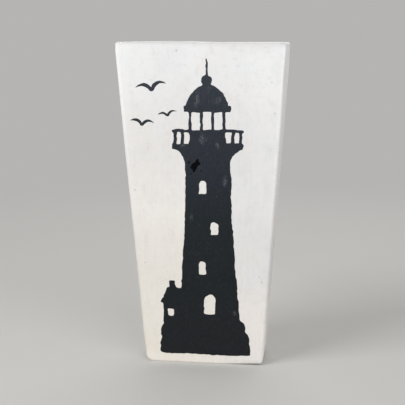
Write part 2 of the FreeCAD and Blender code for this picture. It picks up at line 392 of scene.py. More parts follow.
def strip_faces(skip_foot):
    """Four-sided faces between the rows, as point numbers, without the foot's flat ones if asked."""
    low, high = FLAT_ROWS
    for row in range(ROWS - 1):
        for here in range(ROUND):
            after = (here + 1) % ROUND
            under = ON_FOOT[here] and ON_FOOT[after] and low <= row < high
            if not (skip_foot and under):
                yield [
                    row * ROUND + here,
                    row * ROUND + after,
                    (row + 1) * ROUND + after,
                    (row + 1) * ROUND + here,
                ]


def surface(starts, ways, grown, relief=None):
    """The surface's points along the rays, moved out by grown plus a relief, but never below 0."""
    starts, ways = starts.reshape(-1, 3), ways.reshape(-1, 3)
    nominal = starts + ways * INSET
    wear = wear_at(nominal)
    extra = 0 if relief is None else relief(nominal, ways)
    far = reach(starts, ways, wear, grown + extra)
    down = ways[:, 2] < 0
    far[down] = np.minimum(far[down], starts[down, 2] / -ways[down, 2])
    return starts + ways * far[:, None]


# Pieces ------------------------------------------------------------------------------------------

def make_piece(name, points, faces, slot, material, *nodes):
    """A closed piece from points in mm. It rides on the block and stands for the nodes."""
    mesh = mesh_of(name, points, faces)
    work = bmesh.new()
    work.from_mesh(mesh)
    loose = [vertex for vertex in work.verts if not vertex.link_faces]
    bmesh.ops.delete(work, geom=loose, context="VERTS")
    bmesh.ops.recalc_face_normals(work, faces=work.faces)
    work.to_mesh(mesh)
    work.free()
    mesh.shade_smooth()
    mesh.materials.append(material)
    piece = in_scene(name, mesh)
    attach(piece, "root")
    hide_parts(*nodes)


COARSE_GRID = (2.6, 2.6)
FINE_GRID = (0.8, 2.4)      # finer across, for the brush ridges that run up the front
CAP_ROWS = (("front", 0), ("back", ROWS - 1))
COAT = 0.25                 # thickness of the white coat

SAW_PITCH = 2.7             # between the saw's marks
SAW_CENTRE = 60             # where along the depth they run straight,
SAW_CURVE = 0.004           # and how much they bend away from there
SAW_WANDER = ((0.5, 9, 21),)            # how they stray: height, size, seed
KERF_DEPTH = 0.05
TORN_DEPTH = 0.14           # of the fibres that it tore out,
TORN_SWELLS = ((2.1, 22), (8, 23))      # where both of these are high: size, seed


def cap_number(number, first, offset):
    """A cap's own point number as the piece's, where its rim starts at first and its grid at offset."""
    return first + number if number < ROUND else offset + number - ROUND


def saw_marks(points):
    """How far the saw cut into the bare foot, in mm."""
    bend = SAW_CURVE * (points[:, 1] - SAW_CENTRE) ** 2
    curved = points[:, 0] + bend + layered(points, SAW_WANDER)
    kerf = 0.5 + 0.5 * np.sin(curved * 2 * math.pi / SAW_PITCH)
    torn = np.prod([np.maximum(swells(points, *swell), 0) for swell in TORN_SWELLS], axis=0)
    return KERF_DEPTH * kerf + TORN_DEPTH * torn


def make_wood(material):
    """The bare block, with its sawn foot."""
    points = [surface(STARTS, WAYS, 0)]
    count = ROWS * ROUND
    faces = list(strip_faces(skip_foot=False))
    for face, row in CAP_ROWS:
        triangles, starts, ways = cap(face, cap_grid(*COARSE_GRID))
        points.append(surface(starts, ways, 0))
        faces += [[cap_number(n, row * ROUND, count) for n in t] for t in triangles]
        count += len(starts)
    points = np.concatenate(points)
    # The foot's points but for its two ends and the one beside the right end.
    inner = np.flatnonzero(ON_FOOT)[2:-1]
    rows = np.arange(FLAT_ROWS[0] + 1, FLAT_ROWS[1])
    sawn = (rows[:, None] * ROUND + inner).ravel()
    points[sawn, 2] += saw_marks(points[sawn])
    make_piece("bare_wood_block", points, faces, "softwood", material, "wood_block")


# Ridges in the white coat, as height, size and seed: up the sides, across the head, and all over.
RIDGES_UP = ((0.012, (1.7, 1.7, 15), 31), (0.018, (4.1, 4.1, 31), 32))
RIDGES_OVER = ((0.012, (15, 1.7, 5), 33), (0.018, (31, 4.1, 5), 34))
PEEL = ((0.010, 2.3, 35), (0.014, 6.1, 36))
HEAD_TURN = (0.3, 0.8)      # how far up the surface looks where the strokes turn to the head's


def brush_relief(points, ways):
    """Brush ridges in the white coat: up the sides, and across the head."""
    on_head = ramp(ways[:, 2], *HEAD_TURN)
    up = layered(points, RIDGES_UP) * (1 - on_head)
    over = layered(points, RIDGES_OVER) * on_head
    return up + over + layered(points, PEEL)


def make_coat(material):
    """The white coat, a closed shell round all of the block but its foot. Gives its front as a tree."""
    inner = surface(STARTS, WAYS, 0)
    outer = surface(STARTS, WAYS, COAT, brush_relief)
    strip = ROWS * ROUND
    low, high = FLAT_ROWS
    # Under the foot the outer surface has the inner one's points, which closes the shell.
    bare = np.zeros((ROWS, ROUND), bool)
    bare[low : high + 1] = ON_FOOT
    merged = np.where(bare.ravel(), np.arange(strip), np.arange(strip) + strip)
    points = [inner, outer]
    count = 2 * strip
    quads = list(strip_faces(skip_foot=True))
    faces = [quad[::-1] for quad in quads] + [[int(merged[n]) for n in quad] for quad in quads]
    for face, row in CAP_ROWS:
        for grown, relief, first in ((0, None, 0), (COAT, brush_relief, strip)):
            seen = face == "front" and grown
            triangles, starts, ways = cap(face, cap_grid(*(FINE_GRID if seen else COARSE_GRID)))
            points.append(surface(starts, ways, grown, relief))
            rim = first + row * ROUND
            cap_faces = [[cap_number(n, rim, count) for n in t] for t in triangles]
            faces += cap_faces
            count += len(starts)
            if seen:
                front = BVHTree.FromPolygons(np.concatenate(points).tolist(), cap_faces)
    points = np.concatenate(points)
    make_piece("brushed_white_coat", points, faces, "white_paint", material, "white_paint_coat")
    return front


# The painted picture -----------------------------------------------------------------------------

FRONT_WAY = FACES["front"][0]
UP_FRONT = np.array([0, FRONT_WAY[2], -FRONT_WAY[1]])   # up the leaning front
ACROSS = np.array([1.0, 0, 0])
FRONT_START = np.array([0, -half_depth(0), 0])          # the middle of its lower end
OUTLINE_STEP = 0.42                 # between an outline's points
FEWEST_POINTS = 8                   # of an outline
SOFTENINGS = 2                      # times that an outline's corners are softened
BEAD_ROWS = (0.13, 0.32, 0.62)      # rows of points inside an outline, for the paint's rounded edge
FILL_STEP = 1.2                     # of the grid of points in the middle of the paint
BEAD_ROOM = 0.9                     # share of its depth that a bead's point keeps from an outline
FILL_ROOM = 0.4                     # steps that the fill keeps from the last row of a bead
FILL_MERGED = 1e-5                  # points of an outline nearer than that are one point
BATCH = 800                         # points handled at a time, to save memory
OUTER_FACE = 0.02                   # how far a node's outer face may be from its highest point
STRAIGHT_OUT = 0.999                # the cosine between that face's normal and the front's
ABOVE_FRONT = 4                     # where rays that look for what the paint lies on start
FILM_SUNK = 0.03                    # how far a film's back is bedded in what it lies on


def flat_points(points):
    """Points across and up the front."""
    return np.column_stack([points @ ACROSS, (points - FRONT_START) @ UP_FRONT])


def node_outlines(node):
    """The closed outlines of a painted node's outer face, with the paint on their left."""
    mesh = NODES[node].data
    points = mesh_array(mesh, "vertices", "co", 3) / MM
    normals = mesh_array(mesh, "polygons", "normal", 3)
    height = points @ FRONT_WAY
    flat = flat_points(points).round(3)
    outer = []
    for polygon, normal in zip(mesh.polygons, normals):
        corners = list(polygon.vertices)
        lowest = height[corners].min()
        if normal @ FRONT_WAY > STRAIGHT_OUT and lowest > height.max() - OUTER_FACE:
            outer.append([tuple(flat[corner]) for corner in corners])
    following = dict(rim_edges(outer))
    outlines = []
    while following:
        start, here = following.popitem()
        outline = [start]
        while here != start:
            outline.append(here)
            here = following.pop(here)
        outlines.append(np.array(outline))
    return outlines


def walked(outline, step):
    """The same closed outline with points at even steps, its corners softened by the brush."""
    closed = np.vstack([outline, outline[:1]])
    along = np.concatenate([[0], np.linalg.norm(np.diff(closed, axis=0), axis=1).cumsum()])
    count = max(FEWEST_POINTS, round(along[-1] / step))
    at = np.arange(count) / count * along[-1]
    even = np.column_stack([np.interp(at, along, closed[:, n]) for n in (0, 1)])
    for _ in range(SOFTENINGS):
        even = (np.roll(even, 1, axis=0) + 2 * even + np.roll(even, -1, axis=0)) / 4
    return even


def spread(flat):
    """Flat points with a third coordinate of 0, as the swells need."""
    return np.column_stack([flat, np.zeros(len(flat))])


def unsteady(flat, strays, seed):
    """Points moved a little, as a hand that fills in a shape strays from its line."""
    moved = flat.copy()
    for n, (amount, size) in enumerate(strays):
        for axis in (0, 1):
            moved[:, axis] += amount * swells(spread(flat), size, seed + 2 * n + axis)
    return moved


def batches(flat):
    """Slices that go through the points a batch at a time."""
    return [slice(first, first + BATCH) for first in range(0, len(flat), BATCH)]


def edge_distance(flat, outlines):
    """How far points are from the nearest outline."""
    best = np.full(len(flat), np.inf)
    for outline in outlines:
        run = np.roll(outline, -1, axis=0) - outline
        length = (run * run).sum(axis=1)
        for batch in batches(flat):
            away = flat[batch, None] - outline
            share = np.clip((away * run).sum(axis=2) / length, 0, 1)
            apart = np.linalg.norm(away - run * share[..., None], axis=2).min(axis=1)
            best[batch] = np.minimum(best[batch], apart)
    return best


def within(flat, outlines):
    """Which points are inside the outlines and not in their holes."""
    inside = np.zeros(len(flat), bool)
    for outline in outlines:
        ax, ay = outline.T
        bx, by = np.roll(outline, -1, axis=0).T
        for batch in batches(flat):
            x, y = flat[batch].T[..., None]
            spans = (ay > y) != (by > y)
            with np.errstate(divide="ignore", invalid="ignore"):
                crossing = ax + (y - ay) / (by - ay) * (bx - ax)
            inside[batch] ^= (spans & (crossing > x)).sum(axis=1) % 2 == 1
    return inside


def beads(outlines):
    """Rows of points just inside the outlines, for the paint's rounded edge."""
    for outline in outlines:
        run = np.roll(outline, -1, axis=0) - np.roll(outline, 1, axis=0)
        inward = np.column_stack([-run[:, 1], run[:, 0]]) / np.linalg.norm(run, axis=1)[:, None]
        for depth in BEAD_ROWS:
            row = outline + inward * depth
            yield row[edge_distance(row, outlines) > BEAD_ROOM * depth]


def fill_grid(outlines):
    """Points of a grid inside the outlines, clear of the beads."""
    low, high = extent(np.concatenate(outlines))
    grid = crossings(*(np.arange(*ends, FILL_STEP) for ends in zip(low, high)))
    grid = grid[within(grid, outlines)]
    return grid[edge_distance(grid, outlines) > BEAD_ROWS[-1] + FILL_ROOM * FILL_STEP]


def fill(outlines):
    """Flat points and triangles that fill the outlines, finer along the edges."""
    inner = np.concatenate([*beads(outlines), fill_grid(outlines)])
    inner = inner[within(inner, outlines)]
    sides = []
    count = 0
    for outline in outlines:
        numbers = np.arange(len(outline)) + count
        sides += list(zip(numbers.tolist(), np.roll(numbers, -1).tolist()))
        count += len(outline)
    flat = [Vector(point) for point in np.concatenate([*outlines, inner])]
    made = delaunay_2d_cdt(flat, sides, [], 0, FILL_MERGED)
    points = np.array([list(point) for point in made[0]])
    triangles = np.array(made[2])
    triangles = triangles[within(points[triangles].mean(axis=1), outlines)]
    used, numbers = np.unique(triangles, return_inverse=True)
    return points[used], numbers.reshape(-1, 3)


def laid_on(flat, tree):
    """Points on the surface that a tree holds, straight behind flat points of the front."""
    nominal = FRONT_START + flat[:, :1] * ACROSS + flat[:, 1:] * UP_FRONT
    away = Vector(-FRONT_WAY)
    starts = nominal + FRONT_WAY * ABOVE_FRONT
    landed = [tree.ray_cast(Vector(start), away)[0] for start in starts]
    if_missed = nominal + FRONT_WAY * COAT
    return np.array([list(hit or other) for hit, other in zip(landed, if_missed)])


def make_film(name, outlines, tree, height, slot, material, node):
    """A film of paint inside the outlines, on what the tree holds. Gives its top as a tree."""
    flat, triangles = fill(outlines)
    ground = laid_on(flat, tree)
    rise = height(flat, edge_distance(flat, outlines))
    top = ground + FRONT_WAY * rise[:, None]
    back = ground - FRONT_WAY * FILM_SUNK
    count = len(flat)
    faces = triangles.tolist() + (triangles[:, ::-1] + count).tolist()
    faces += [[b, a, a + count, b + count] for a, b in rim_edges(triangles.tolist())]
    make_piece(name, np.concatenate([top, back]), faces, slot, material, node)
    return BVHTree.FromPolygons(top.tolist(), triangles.tolist())


BLACK = 0.15                # thickness of the black paint
BEAD = 0.36                 # how wide its rounded edge is
LIP = 0.012                 # its height right at the outline
BRUSH_MARKS = ((0.016, (1.7, 9, 1), 51), (0.018, (4.5, 6, 1), 52))      # height, size, seed
RIDGE = 0.030               # height of the ridge that the brush left beside the outline,
RIDGE_PLACE = 0.55          # how far inside it is,
RIDGE_WIDTH = 0.28          # and how wide


def rounded_edge(distance, width):
    """From 0 at an outline to 1 inside it, like the quarter of a circle."""
    part = 1 - np.clip(distance / width, 0, 1)
    return np.sqrt(1 - part * part)


def black_height(flat, distance):
    """Brushed black paint: a rounded edge, a low ridge just inside it, and brush marks."""
    marks = layered(spread(flat), BRUSH_MARKS)
    ridge = RIDGE * np.exp(-((distance - RIDGE_PLACE) / RIDGE_WIDTH) ** 2)
    return LIP + (BLACK + marks + ridge) * rounded_edge(distance, BEAD)


DAB_RISE = 0.19             # height of the dab
DAB_EDGE = 1.1              # how wide its rounded edge is
DAB_LUMPS = ((0.35, 1.5, 61),)          # how its height varies: share, size, seed


def dab_height(flat, distance):
    """A wet blob: domed, with soft lumps where the brush left it."""
    lumps = 1 + layered(spread(flat), DAB_LUMPS)
    return LIP + DAB_RISE * rounded_edge(distance, DAB_EDGE) * lumps


DAB_SPREAD = 1.2            # makes up for what softening the corners takes off
# The dab's outline in halves of its size: a slanting stroke with a hook at its lower end.
DAB_OUTLINE = (
    (-0.95, -0.10), (-0.80, -0.45), (-0.50, -0.45), (-0.62, -0.85), (-0.35, -1.00),
    (-0.10, -0.60), (0.20, -0.35), (0.45, 0.00), (0.95, 0.20), (0.90, 0.55), (0.50, 0.50),
    (0.62, 0.90), (0.25, 0.98), (-0.05, 0.55), (-0.45, 0.40), (-0.65, 0.15),
)


def dab_outline(node):
    """The dab's outline, laid over the middle of a node's own."""
    low, high = extent(node_outlines(node)[0])
    return (low + high) / 2 + np.array(DAB_OUTLINE) * (high - low) * DAB_SPREAD / 2


# The drops beside the dab: where they start from, as shares of its size, how far they are from
# there across and up, their radius, and how much taller than wide they are.
DROPS = (
    ((0, 0.75), (-0.7, 0), 0.42, 1.4),
    ((0, 0), (0.3, -0.7), 0.34, 1.2),
    ((1, 0), (0.2, 0.9), 0.36, 1.0),
)
DROP_POINTS = 14


def drop_outlines(blob):
    """The outlines of the small drops beside a blob."""
    low, high = extent(blob)
    angles = np.arange(DROP_POINTS) / DROP_POINTS * 2 * math.pi
    for share, away, radius, stretch in DROPS:
        across, up = low + (high - low) * share + away
        yield np.column_stack([
            across + radius * np.cos(angles),
            up + radius * stretch * np.sin(angles),
        ])


# Amount and size of the hand's wobble, coarse to fine, and its seeds.
STRAYS = ((0.32, 13), (0.32, 4.0), (0.26, 1.6))
GULL_STRAYS = ((0.18, 4.0), (0.13, 1.4))
DAB_STRAYS = ((0.25, 1.9), (0.12, 0.8))
LIGHTHOUSE_SEED = 71
GULL_SEEDS = (("large", 81), ("middle", 91), ("small", 101))
DAB_SEED = 111


def hand_drawn(outlines, strays, seed):
    """Outlines as a hand follows them."""
    return [unsteady(walked(outline, OUTLINE_STEP), strays, seed) for outline in outlines]


def make_picture(coat_front, black, wet_black):
    """The lighthouse, the gulls and the dab."""
    lighthouse = hand_drawn(node_outlines("painted_lighthouse"), STRAYS, LIGHTHOUSE_SEED)
    lighthouse_front = make_film(
        "lighthouse_paint", lighthouse, coat_front,
        black_height, "black_paint", black, "painted_lighthouse",
    )
    for size, seed in GULL_SEEDS:
        node = "painted_gull_" + size
        gull = hand_drawn(node_outlines(node), GULL_STRAYS, seed)
        make_film(
            "gull_paint_" + size, gull, coat_front, black_height, "black_paint", black, node,
        )
    blob = hand_drawn([dab_outline("touch_up_dab")], DAB_STRAYS, DAB_SEED)[0]
    make_film(
        "wet_black_dab", [blob, *drop_outlines(blob)], lighthouse_front,
        dab_height, "gloss_black_paint", wet_black, "touch_up_dab",
    )


# Finishes ----------------------------------------------------------------------------------------

class Value:
    """A shader socket. Sums on it add Math nodes."""

    def __init__(self, network, socket):
        self.network = network
        self.socket = socket

    def math(self, operation, *others):
        """A Math node on this value and the others."""
        values = dict(enumerate((self, *others)))
        return self.network.node("ShaderNodeMath", {"operation": operation}, values)

    def __add__(self, other):
        return self.math("ADD", other)

    def __sub__(self, other):
        return self.math("SUBTRACT", other)

    def __rsub__(self, other):
        return self.network.node("ShaderNodeMath", {"operation": "SUBTRACT"}, {0: other, 1: self})

    def __mul__(self, other):
        return self.math("MULTIPLY", other)

    def __truediv__(self, other):
        return self.math("DIVIDE", other)

    __radd__ = __add__
    __rmul__ = __mul__

    def over(self, low, high):
        """0 where this is at low, 1 where it is at high, and smooth between."""
        return self.network.node(
            "ShaderNodeMapRange",
            {"interpolation_type": "SMOOTHSTEP"},
            {0: self, 1: low, 2: high, 3: 0.0, 4: 1.0},
        )

    def most(self, other):
        """The greater of the two."""
        return self.math("MAXIMUM", other)

    def output(self, name):
        """Another output of the same node."""
        return Value(self.network, self.socket.node.outputs[name])


class Network:
    """Nodes that are added to a node tree one by one."""

    def __init__(self, tree):
        self.tree = tree

    def node(self, kind, settings=None, values=None, out=0):
        """A node of a kind: its settings first, then its sockets' values or links."""
        made = self.tree.nodes.new(kind)
        for name, setting in (settings or {}).items():
            if name == "stops":
                stops = made.color_ramp.elements
                while len(stops) < len(setting):
                    stops.new(0.5)
                for stop, (position, colour) in zip(stops, setting):
                    stop.position = position
                    stop.color = colour
            else:
                setattr(made, name, setting)
        for name, value in (values or {}).items():
            self.feed(made.inputs[name], value)
        return Value(self, made.outputs[out])

    def mix(self, share, first, second, way="MIX"):
        """Two colours mixed, or blended in the way that is named."""
        return self.node(
            "ShaderNodeMix",
            {"data_type": "RGBA", "blend_type": way},
            {0: share, 6: first, 7: second},
            out=2,
        )

    def darken(self, share, colour, by):
        """A colour multiplied by another, in the share that is given."""
        return self.mix(share, colour, by, "MULTIPLY")

    def feed(self, socket, value):
        """Links a value to a socket, or sets the socket to a plain number or colour."""
        if isinstance(value, Value):
            self.tree.links.new(value.socket, socket)
        else:
            socket.default_value = value


class Finish(Network):
    """A material built up from nodes on one principled shader."""

    def __init__(self, name, **uniform):
        self.material = bpy.data.materials.new(name)
        self.material.use_nodes = True
        super().__init__(self.material.node_tree)
        self.shader = self.tree.nodes["Principled BSDF"]
        for socket, value in uniform.items():
            self.feed(self.shader.inputs[socket.replace("_", " ")], value)
        place = self.node("ShaderNodeTexCoord", out="Object")
        self.place = self.node(
            "ShaderNodeVectorMath", {"operation": "SCALE"}, {0: place, "Scale": 1 / MM}
        )
        self.x = self.node("ShaderNodeSeparateXYZ", values={0: self.place})
        self.y = self.x.output("Y")
        self.z = self.x.output("Z")

    def stretched(self, x, y, z):
        """The place in mm, divided by a size for each axis."""
        return self.node(
            "ShaderNodeVectorMath", {"operation": "DIVIDE"}, {0: self.place, 1: (x, y, z)}
        )

    def noise(self, x, y, z, detail=2.0, roughness=0.5, distortion=0.0):
        """Random values from 0 to 1 whose swells are x, y and z mm long."""
        return self.node(
            "ShaderNodeTexNoise",
            values={
                "Vector": self.stretched(x, y, z), "Scale": 1.0, "Detail": detail,
                "Roughness": roughness, "Distortion": distortion,
            },
        )

    def apart(self, weights, middle=(0.0, 0.0, 0.0)):
        """How far the place is from a middle, once each of its parts has been given a weight."""
        weighted = self.node(
            "ShaderNodeVectorMath", {"operation": "MULTIPLY"}, {0: self.place, 1: weights}
        )
        return self.node(
            "ShaderNodeVectorMath", {"operation": "DISTANCE"}, {0: weighted, 1: middle}, out="Value"
        )

    def dots(self, spacing, inner, outer):
        """1 in small dots scattered in cells of that spacing, and 0 between them."""
        cells = self.node(
            "ShaderNodeTexVoronoi", values={"Vector": self.stretched(*spacing), "Scale": 1.0}
        )
        return 1 - cells.over(inner, outer)

    def spot(self, place, radius, soft, stretch=1.0, ragged=None):
        """1 in a spot that runs through the block along the place's empty axis, 0 outside it."""
        seen = [0.0 if part is None else 1.0 for part in place]
        middle = [part or 0.0 for part in place]
        apart = self.apart(
            (seen[0], seen[1], seen[2] / stretch), (middle[0], middle[1], middle[2] / stretch)
        )
        if ragged is not None:
            apart = apart + ragged
        return 1 - apart.over(radius - soft, radius + soft)

    def shown(self):
        """The principled shader's own output."""
        return Value(self, self.shader.outputs[0])

    def finished(self, colour, roughness, height, depth):
        """The material with that colour and roughness, bumped by height times depth in mm."""
        bump = self.node(
            "ShaderNodeBump", values={"Strength": 1.0, "Distance": depth * MM, "Height": height}
        )
        for socket, value in (("Base Color", colour), ("Roughness", roughness), ("Normal", bump)):
            self.feed(self.shader.inputs[socket], value)
        return self.material


def tint(red, green, blue):
    """A colour written as it looks, from 0 to 255, made linear."""
    parts = []
    for part in (red / 255, green / 255, blue / 255):
        parts.append(part / 12.92 if part <= 0.04045 else ((part + 0.055) / 1.055) ** 2.4)
    return (*parts, 1.0)


FOOT_HALF_WIDTH = half_width(0)
FOOT_HALF_DEPTH = half_depth(0)
TOP_HALF_WIDTH = half_width(HEIGHT)
TOP_HALF_DEPTH = half_depth(HEIGHT)

# The white's tone from the foot, 0, to the head, 1.
WHITE_TONES = (
    (0.0, tint(241, 236, 229)), (0.04, tint(236, 230, 220)), (0.18, tint(234, 230, 222)),
    (0.32, tint(232, 228, 221)), (0.50, tint(237, 234, 230)), (0.70, tint(234, 232, 230)),
    (0.88, tint(237, 237, 237)), (1.0, tint(240, 241, 242)),
)
# The tone that the white has on the right of the front, from the foot, 0, to the head, 1.
RIGHT_TONES = (
    (0.0, tint(241, 238, 236)), (0.18, tint(237, 232, 230)), (0.30, tint(223, 225, 229)),
    (0.42, tint(218, 220, 222)), (0.50, tint(221, 223, 226)), (0.62, tint(228, 229, 231)),
)
# Smudges on the front: across, up, radius, how much taller than wide, strength.
SMUDGES = (
    (34.0, 173.0, 4.5, 0.45, 0.5), (21.5, 171.6, 2.2, 0.6, 0.4), (35.6, 121.4, 3.6, 0.6, 0.5),
    (34.7, 103.0, 1.6, 4.0, 0.4), (-28.1, 122.1, 1.3, 3.2, 0.55), (-30.6, 69.0, 1.2, 7.0, 0.5),
)
# Specks on the front: across, up, radius.
SPECKS = (
    (-12.1, 172.2, 0.55), (37.0, 156.0, 0.45), (38.6, 140.0, 0.50), (-12.7, 141.0, 0.40),
    (-35.9, 98.4, 0.50), (-31.5, 57.8, 0.45), (32.3, 48.4, 0.50), (30.9, 51.3, 0.35),
)
STREAK_PLACE = (-16.5, 163)     # a grey streak on the right side: along the depth, and up
STREAK_SIDE = (5, 20)           # across, so that the left side has none

# Places in mm between which something fades in.
STROKE_TURN = (HEIGHT - 0.9, HEIGHT + 0.1)      # up, where the strokes turn to the head's
FRONT_FADE = (-12, -6)          # along the depth, where what is on the front only ends
SIDE_FADE = (FOOT_HALF_WIDTH - 3, FOOT_HALF_WIDTH + 1)      # across, what is on the sides only,
SIDE_DEPTH = (0.0, 1.2)         # and in from a side, where that ends
RIGHT_SPREAD = (-5, 30)         # across, the right's own tone
RIGHT_END = (118, 150)          # up, where that tone ends
SHADE_MIDDLE = -3               # across, the middle of the front's greyer upper part
SHADE_SPREAD = (20, 40)         # from that middle
SHADE_RISE = (90, 120)          # up
EDGE_HIGHLIGHT_REACH = (0.2, 2.6)         # in from a long edge, where a painted highlight lies
EDGE_HIGHLIGHT_RISE = (60, 150)          # up
EDGE_HIGHLIGHT_HALVED = (-5, 5)               # across, from there on the painted highlight is half as strong
NEAR_HEAD = (125, 165)          # up, where the coat is blotchy more than streaky
SIDE_BACK = (-24, 0)            # along the depth, where a side gets greyer
SIDE_FOOT = (22, 36)            # up, where that starts
GRIME_RISE = (0.3, 5)           # up, where the foot's grime ends
RUB_AND_SHADE_SPREAD = (-40, 35)       # across, the head's rubbing and painted shade, which reach deeper to the right
RUB_AND_SHADE_DEPTHS = (1.0, 2.9)      # how far down it reaches at those two places
RUB_AND_SHADE_EDGE = (1, 7)            # in from the head's edges, where the rubbing and painted shade fade


class WhiteFinish(Finish):
    """Brushed eggshell white: faint strokes, a painted highlight along the long edges, specks and
    smudges.
    """

    def __init__(self):
        super().__init__("brushed_white", Specular_IOR_Level=0.42)
        on_head = self.z.over(*STROKE_TURN)
        up = self.noise(1.3, 1.3, 10, detail=4, roughness=0.6, distortion=0.6)
        over = self.noise(10, 1.3, 4, detail=4, roughness=0.6, distortion=0.6)
        self.strokes = up * (1 - on_head) + over * on_head
        fine_up = self.noise(0.35, 0.35, 5, detail=2, distortion=0.4)
        fine_over = self.noise(5, 0.35, 2, detail=2, distortion=0.4)
        self.bristle = fine_up * (1 - on_head) + fine_over * on_head
        self.cross = self.noise(9, 9, 1.2, detail=3, distortion=0.7)
        self.mottle = self.noise(24, 24, 34, detail=3)
        self.cloud = self.noise(3.0, 3.0, 3.8, detail=5, roughness=0.7)
        self.grain = self.noise(0.9, 0.9, 0.9, detail=3)
        self.on_front = 1 - self.y.over(*FRONT_FADE)
        self.across = self.x.math("ABSOLUTE")
        widening = (TOP_HALF_WIDTH - FOOT_HALF_WIDTH) / HEIGHT
        self.from_edge = self.z * widening + FOOT_HALF_WIDTH - self.across

    def ground(self):
        """The white's broad tones, and a painted highlight along the long edges, strongest on the left.
        """
        share = self.z / HEIGHT
        tone = self.node("ShaderNodeValToRGB", {"stops": WHITE_TONES}, {0: share})
        colour = self.mix(self.mottle.over(0.35, 0.7) * 0.20, tone, tint(233, 228, 220))
        right_tone = self.node("ShaderNodeValToRGB", {"stops": RIGHT_TONES}, {0: share})
        on_right = self.x.over(*RIGHT_SPREAD) * (1 - 0.9 * self.z.over(*RIGHT_END)) * self.on_front
        colour = self.mix(on_right * (0.35 + self.mottle * 0.5), colour, right_tone)
        middle = 1 - (self.x - SHADE_MIDDLE).math("ABSOLUTE").over(*SHADE_SPREAD)
        shade = middle * self.z.over(*SHADE_RISE) * self.on_front
        colour = self.darken(shade * 0.5, colour, tint(246, 246, 247))
        # Painted highlight: a lighter band along the long edges, where the rounded edges catch the
        # light. It is full on the left and half as strong on the right.
        edge_highlight = (1 - self.from_edge.over(*EDGE_HIGHLIGHT_REACH)) * self.z.over(*EDGE_HIGHLIGHT_RISE)
        edge_highlight = edge_highlight * (1 - 0.5 * self.x.over(*EDGE_HIGHLIGHT_HALVED)) * (0.35 + self.cloud * 0.7)
        return self.mix(edge_highlight, colour, tint(255, 254, 253))

    def brushed(self, colour):
        """Patches of another hue, brush strokes and blotches."""
        hue = self.noise(13, 13, 16, detail=2)
        colour = self.darken(hue.over(0.50, 0.66) * 0.4, colour, tint(252, 253, 255))
        colour = self.darken((1 - hue.over(0.34, 0.50)) * 0.5, colour, tint(255, 254, 252))
        patches = self.noise(10, 10, 13, detail=4)
        colour = self.darken(patches.over(0.48, 0.68) * 0.42, colour, tint(247, 247, 248))
        near_head = self.z.over(*NEAR_HEAD)
        streaky = self.strokes.over(0.42, 0.75) * (0.50 - near_head * 0.28)
        colour = self.darken(streaky, colour, tint(245, 245, 246))
        colour = self.darken(self.cross.over(0.52, 0.8) * 0.30, colour, tint(243, 243, 243))
        blotchy = self.cloud.over(0.50, 0.72) * (near_head * 0.40 + 0.50)
        return self.darken(blotchy, colour, tint(243, 243, 244))

    def sides(self, colour):
        """The greyer sides, where the coat is broken by the wood's grain, and a little darker towards
        the back.
        """
        on_side = self.across.over(*SIDE_FADE) * (1 - self.from_edge.over(*SIDE_DEPTH))
        broken = self.noise(1.6, 1.6, 5, detail=3, roughness=0.65).over(0.46, 0.66)
        colour = self.mix(on_side * broken * 0.22, colour, tint(206, 203, 208))
        towards_back = self.y.over(*SIDE_BACK) * self.z.over(*SIDE_FOOT)
        return self.darken(on_side * towards_back, colour, tint(248, 245, 247))

    def grimed_rubbed_and_shaded(self, colour):
        """Grime at the foot, and grey along the head's edges and faintly over its top: partly paint
        rubbed thin, partly painted shade.
        """
        grime = (1 - self.z.over(*GRIME_RISE)) * self.grain.over(0.3, 0.7)
        colour = self.mix(grime * 0.25, colour, tint(224, 214, 202))
        # Painted shade in part: the head's top and the edges that turn up to it are made greyer than
        # the front, more so to the right. The rest of this grey is rubbed paint.
        shallow, deep = RUB_AND_SHADE_DEPTHS
        depth = shallow + (deep - shallow) * self.x.over(*RUB_AND_SHADE_SPREAD)
        rubbed = ((self.z - HEIGHT + depth) / depth).over(-0.1, 1.0)
        rubbed = rubbed * (0.25 + self.cloud * 0.4 + self.on_front * 0.25)
        from_side = (TOP_HALF_WIDTH - self.across).over(*RUB_AND_SHADE_EDGE)
        from_face = (TOP_HALF_DEPTH - self.y.math("ABSOLUTE")).over(*RUB_AND_SHADE_EDGE)
        rubbed = rubbed * (1 - from_side * from_face * 0.85)
        return self.mix(rubbed, colour, tint(206, 204, 203))

    def marked(self, colour):
        """Smudges and specks on the front, a streak on the right side, and dust all over."""
        scratches = self.noise(2.4, 2.4, 0.45, detail=2, distortion=0.8).over(0.45, 0.65)
        for x, z, radius, stretch, strength in SMUDGES:
            ragged = (self.mottle - 0.5) * radius + (self.grain - 0.5) * radius * 0.8
            smudge = self.spot((x, None, z), radius * 0.8, radius * 0.6, stretch, ragged)
            share = smudge * self.on_front * (0.15 + scratches * 0.5) * strength
            colour = self.mix(share, colour, tint(192, 194, 190))
        streak = self.spot((None, *STREAK_PLACE), 2.6, 1.8, 3.2, (self.cloud - 0.5) * 5)
        share = streak * self.x.over(*STREAK_SIDE) * 0.35
        colour = self.mix(share, colour, tint(188, 186, 190))
        for x, z, radius in SPECKS:
            speck = self.spot((x, None, z), radius, radius * 0.5, ragged=(self.bristle - 0.5) * 0.5)
            colour = self.mix(speck * self.on_front * 0.42, colour, tint(160, 156, 152))
        dust = self.dots((7.5, 7.5, 9), 0.028, 0.050) * self.noise(12, 12, 12).over(0.5, 0.6)
        return self.mix(dust * 0.35, colour, tint(186, 180, 172))

    def made(self):
        """The finished material."""
        colour = self.marked(self.grimed_rubbed_and_shaded(self.sides(self.brushed(self.ground()))))
        roughness = 0.44 + self.strokes * 0.10 + self.grain * 0.06
        broad = self.strokes * 0.55 + self.cross * 0.15
        height = broad + self.bristle * 0.22 + self.grain * 0.20
        return self.finished(colour, roughness, height, 0.045)


